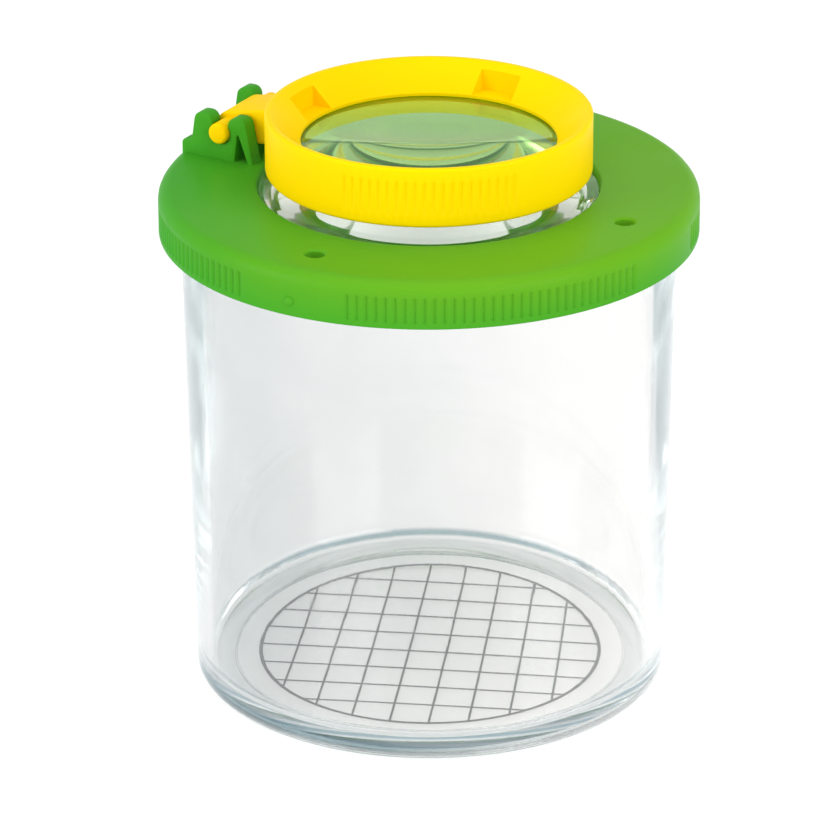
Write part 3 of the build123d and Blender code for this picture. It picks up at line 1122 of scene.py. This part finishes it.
class BUGJAR_OT_stage(Operator):
    """Set up the floor, the soft lights and the camera"""

    bl_idname = "bugjar.stage"
    bl_label = "Stage"

    def execute(self, context):
        g = context.scene.bug_jar_stage
        deselect_everything()
        bpy.ops.mesh.primitive_plane_add(size=g.floor, location=(0, 0, -g.floor_gap))
        floor = context.active_object
        floor.name = "studio_floor"
        floor.data.materials.append(self.floor_finish())
        for lamp in SOFTBOXES:
            self.softbox(*lamp)
        context.scene.world = self.surroundings()
        context.scene.view_settings.view_transform = "Standard"
        paths = context.scene.cycles
        paths.max_bounces = paths.transmission_bounces = paths.glossy_bounces = LIGHT_BOUNCES
        paths.transparent_max_bounces = CLEAR_BOUNCES
        self.camera(context, g.lens)
        return {"FINISHED"}

    def surroundings(self):
        """A pale studio, white along the horizon and a little darker overhead."""
        world = bpy.data.worlds.new("studio")
        world.use_nodes = True
        tree = world.node_tree
        place = add_node(tree, "ShaderNodeTexCoord", -800, 0).outputs["Generated"]
        apart = add_node(tree, "ShaderNodeSeparateXYZ", -600, 0, Vector=place)
        height = remap(tree, -400, 0, apart.outputs["Z"], From_Min=0.06, From_Max=0.5)
        shade = mix_tones(tree, -200, 0, height, HORIZON, OVERHEAD)
        tree.links.new(shade, tree.nodes["Background"].inputs["Color"])
        return world

    def floor_finish(self):
        """Pale floor that is lit from below as well, so that shadows stay faint."""
        material, tree, place = new_material("Studio floor")
        skin = skin_nodes(
            tree, place, smoothest=0.55, roughest=0.65, marks=0.0, bump=0.02, distance=0.05 * MM
        )
        glow = {"Emission_Color": (1, 1, 1, 1), "Emission_Strength": 0.62}
        plain_surface(tree, Base_Color=FLOOR_GREY, Specular_IOR_Level=0.1, **glow, **skin)
        return material

    def softbox(self, name, place, target, side, power):
        """A square soft light that faces a point."""
        bpy.ops.object.light_add(type="AREA", location=place)
        lamp = bpy.context.active_object
        lamp.name = lamp.data.name = name
        lamp.data.size = side
        lamp.data.energy = power
        lamp.rotation_euler = (Vector(target) - Vector(place)).to_track_quat("-Z", "Y").to_euler()

    def camera(self, context, lens):
        """Camera at the height and distance that the jar's ellipses ask for."""
        bpy.ops.object.camera_add(location=CAMERA_PLACE)
        camera = context.active_object
        camera.name = "camera"
        look = Matrix.Identity(4)
        for angle, axis in CAMERA_TURNS:
            look = look @ Matrix.Rotation(angle, 4, axis)
        camera.rotation_euler = look.to_euler()
        camera.data.lens = lens
        camera.data.sensor_width = 36.0
        camera.data.clip_start = 0.01
        context.scene.camera = camera


PIECES = (
    BUGJAR_OT_jar_body,
    BUGJAR_OT_measuring_disc,
    BUGJAR_OT_measuring_grid,
    BUGJAR_OT_lid,
    BUGJAR_OT_lid_lens,
    BUGJAR_OT_magnifier_frame,
    BUGJAR_OT_magnifier_lens,
    BUGJAR_OT_stage,
)

SETTINGS = {
    "bug_jar_jar": JarSizes,
    "bug_jar_thread": ThreadSizes,
    "bug_jar_lid": LidSizes,
    "bug_jar_lenses": LensSizes,
    "bug_jar_magnifier": MagnifierSizes,
    "bug_jar_finishes": Finishes,
    "bug_jar_stage": StageSizes,
}


class BUGJAR_PT_panel(Panel):
    """Lists the pieces of the jar and their sizes"""

    bl_idname = "BUGJAR_PT_panel"
    bl_label = "Bug catcher jar"
    bl_space_type = "VIEW_3D"
    bl_region_type = "UI"
    bl_category = "Bug jar"

    def draw(self, context):
        for piece in PIECES:
            self.layout.operator(piece.bl_idname)
        for name in SETTINGS:
            settings = getattr(context.scene, name)
            box = self.layout.box()
            box.label(text=settings.bl_rna.name)
            for field in settings.__annotations__:
                box.prop(settings, field)


def register():
    """Registers the settings, the operators and the panel."""
    for name, group in SETTINGS.items():
        bpy.utils.register_class(group)
        setattr(bpy.types.Scene, name, PointerProperty(type=group))
    for piece in (*PIECES, BUGJAR_PT_panel):
        bpy.utils.register_class(piece)


def unregister():
    """Takes back what register added."""
    for piece in reversed((*PIECES, BUGJAR_PT_panel)):
        bpy.utils.unregister_class(piece)
    for name, group in SETTINGS.items():
        delattr(bpy.types.Scene, name)
        bpy.utils.unregister_class(group)


def main():
    """Models all pieces in order."""
    register()
    for piece in PIECES:
        family, action = piece.bl_idname.split(".")
        getattr(getattr(bpy.ops, family), action)()


if __name__ == "__main__":
    main()
